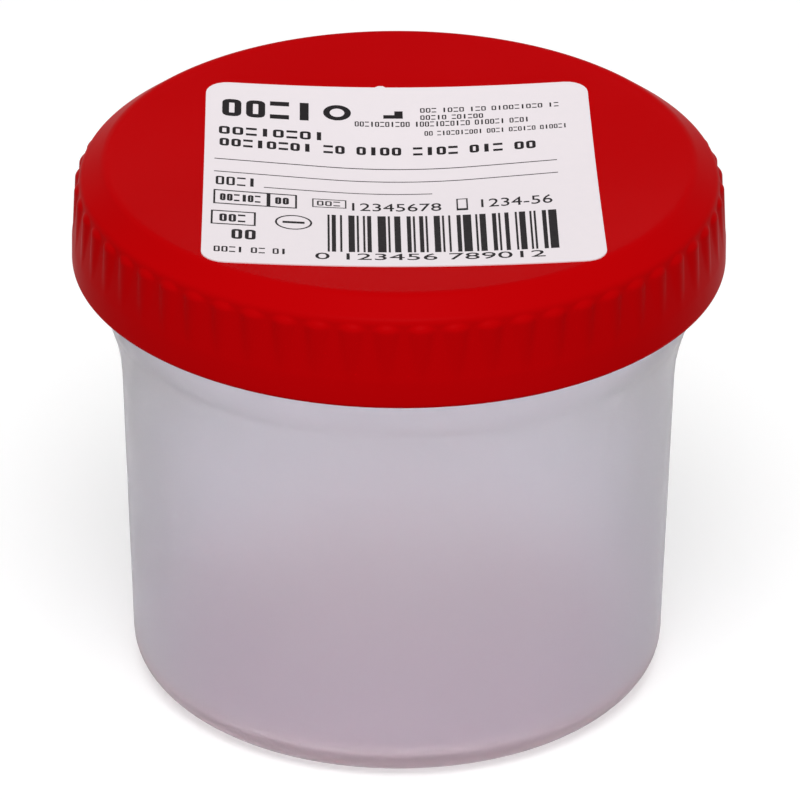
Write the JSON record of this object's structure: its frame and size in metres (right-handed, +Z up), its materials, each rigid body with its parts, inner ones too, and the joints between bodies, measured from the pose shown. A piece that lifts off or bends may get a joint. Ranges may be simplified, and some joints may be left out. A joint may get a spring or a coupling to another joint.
{
  "type": "specimen container",
  "caption": "Round translucent specimen container with a ribbed red screw cap that has a sunk, labelled top; holds about 120 ml.",
  "frame": {"origin": "centre of the foot ring, on the surface that the container stands on", "axes": "+Z up along the axis of the container and of its cap; the label's lower edge faces -Y"},
  "size_m": [0.07, 0.07, 0.06],
  "materials": {
    "translucent_plastic": "frosted, milky, natural polypropylene",
    "red_plastic": "satin red polyethylene",
    "label_paper": "coated white label paper"
  },
  "bodies": {
    "beaker": {"container": "translucent_plastic"},
    "cap": {"screw_cap": "red_plastic", "label": "label_paper"}
  },
  "joints": [
    {"name": "cap_lift", "type": "slide", "parent": "beaker", "child": "cap", "axis": [0, 0, 1], "range_m": [0, 0.04]}
  ]
}
